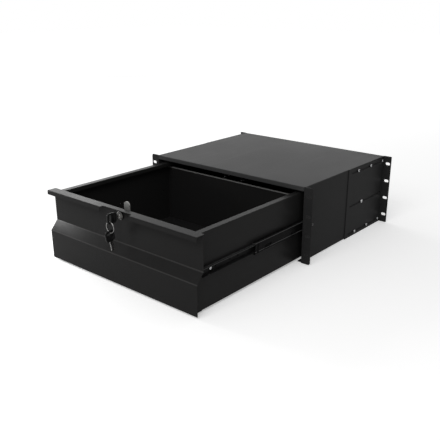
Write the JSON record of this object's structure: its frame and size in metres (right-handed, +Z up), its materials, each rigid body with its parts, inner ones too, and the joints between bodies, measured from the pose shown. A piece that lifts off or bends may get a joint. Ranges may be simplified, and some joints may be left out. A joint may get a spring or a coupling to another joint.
{
  "type": "sliding rack drawer",
  "caption": "Lockable rack drawer: a steel tray on ball-bearing slides in a closed cabinet with front ears, adjustable rear brackets, a cam lock and keys.",
  "frame": {"origin": "centre of the front ears' slot pattern, on the rear face of the ears that meets the rack's front rails", "axes": "+X to the right seen from the front, +Y to the rear of the rack, +Z up"},
  "size_m": [0.4826, 0.7226, 0.1742],
  "materials": {
    "cabinet_black": "satin black powder coat",
    "drawer_black": "satin black powder coat",
    "slide_black": "semi-gloss black coated steel",
    "cage_steel": "black phosphate",
    "ball_chrome": "polished",
    "screw_steel": "bright nickel",
    "lock_chrome": "satin nickel",
    "key_steel": "satin nickel",
    "bow_black": "moulded black plastic",
    "bumper_black": "moulded black plastic",
    "stop_rubber": "moulded rubber"
  },
  "bodies": {
    "cabinet": {"top_cover": "cabinet_black", "bottom_panel": "cabinet_black", "back_panel": "cabinet_black", "lock_keeper": "cabinet_black", "side_panel_left": "cabinet_black", "bracket_screws_left": "screw_steel", "bracket_nuts_left": "screw_steel", "cabinet_slide_screws_left": "screw_steel", "slide_outer_left": "slide_black", "slide_stop_left": "stop_rubber", "side_panel_right": "cabinet_black", "bracket_screws_right": "screw_steel", "bracket_nuts_right": "screw_steel", "cabinet_slide_screws_right": "screw_steel", "slide_outer_right": "slide_black", "slide_stop_right": "stop_rubber"},
    "drawer": {"drawer_tray": "drawer_black", "drawer_back": "drawer_black", "back_rivets": "drawer_black", "drawer_front_wall": "drawer_black", "front_panel": "drawer_black", "lock_body": "lock_chrome", "lock_nut": "lock_chrome", "slide_inner_left": "slide_black", "drawer_slide_screws_left": "screw_steel", "slide_inner_right": "slide_black", "drawer_slide_screws_right": "screw_steel"},
    "lock_plug": {"lock_plug": "lock_chrome", "lock_cam": "lock_chrome", "cam_screw": "screw_steel"},
    "key": {"key_blade": "key_steel", "key_bow": "bow_black"},
    "key_ring": {"key_ring": "ball_chrome"},
    "spare_key": {"spare_key_blade": "key_steel", "spare_key_bow": "bow_black"},
    "middle_slide_left": {"slide_middle_left": "slide_black", "slide_bumper_left": "bumper_black"},
    "outer_cage_left": {"outer_cage_left": "cage_steel", "outer_balls_left": "ball_chrome"},
    "inner_cage_left": {"inner_cage_left": "cage_steel", "inner_balls_left": "ball_chrome"},
    "rear_bracket_left": {"rear_bracket_left": "cabinet_black"},
    "middle_slide_right": {"slide_middle_right": "slide_black", "slide_bumper_right": "bumper_black"},
    "outer_cage_right": {"outer_cage_right": "cage_steel", "outer_balls_right": "ball_chrome"},
    "inner_cage_right": {"inner_cage_right": "cage_steel", "inner_balls_right": "ball_chrome"},
    "rear_bracket_right": {"rear_bracket_right": "cabinet_black"}
  },
  "joints": [
    {"name": "drawer_slide", "type": "slide", "parent": "cabinet", "child": "drawer", "axis": [0, -1, 0], "range_m": [-0.334, 0.016]},
    {"name": "middle_slide_left_travel", "type": "slide", "parent": "cabinet", "child": "middle_slide_left", "axis": [0, -1, 0], "range_m": [-0.1839, 0.009]},
    {"name": "outer_cage_left_travel", "type": "slide", "parent": "cabinet", "child": "outer_cage_left", "axis": [0, -1, 0], "range_m": [-0.09205, 0.0046]},
    {"name": "inner_cage_left_travel", "type": "slide", "parent": "cabinet", "child": "inner_cage_left", "axis": [0, -1, 0], "range_m": [-0.25905, 0.0126]},
    {"name": "bracket_adjust_left", "type": "slide", "parent": "cabinet", "child": "rear_bracket_left", "axis": [0, 1, 0], "range_m": [0, 0.028]},
    {"name": "middle_slide_right_travel", "type": "slide", "parent": "cabinet", "child": "middle_slide_right", "axis": [0, -1, 0], "range_m": [-0.1839, 0.009]},
    {"name": "outer_cage_right_travel", "type": "slide", "parent": "cabinet", "child": "outer_cage_right", "axis": [0, -1, 0], "range_m": [-0.09205, 0.0046]},
    {"name": "inner_cage_right_travel", "type": "slide", "parent": "cabinet", "child": "inner_cage_right", "axis": [0, -1, 0], "range_m": [-0.25905, 0.0126]},
    {"name": "bracket_adjust_right", "type": "slide", "parent": "cabinet", "child": "rear_bracket_right", "axis": [0, 1, 0], "range_m": [0, 0.028]},
    {"name": "lock_turn", "type": "hinge", "parent": "drawer", "child": "lock_plug", "pos_m": [0, -0.318, 0.0591], "axis": [0, 1, 0], "range_deg": [0, 90]},
    {"name": "key_withdraw", "type": "slide", "parent": "lock_plug", "child": "key", "axis": [0, -1, 0], "range_m": [0, 0.024]},
    {"name": "ring_swing", "type": "hinge", "parent": "key", "child": "key_ring", "pos_m": [0, -0.346, 0.0526], "axis": [1, 0, 0], "range_deg": [-60, 6]},
    {"name": "spare_key_swing", "type": "hinge", "parent": "key_ring", "child": "spare_key", "pos_m": [0, -0.346, 0.0306], "axis": [1, 0, 0], "range_deg": [-40, 3]}
  ],
  "couplings": [
    {"joint": "middle_slide_left_travel", "follows": "drawer_slide", "ratio": 0.55},
    {"joint": "outer_cage_left_travel", "follows": "drawer_slide", "ratio": 0.275},
    {"joint": "inner_cage_left_travel", "follows": "drawer_slide", "ratio": 0.775},
    {"joint": "middle_slide_right_travel", "follows": "drawer_slide", "ratio": 0.55},
    {"joint": "outer_cage_right_travel", "follows": "drawer_slide", "ratio": 0.275},
    {"joint": "inner_cage_right_travel", "follows": "drawer_slide", "ratio": 0.775}
  ]
}
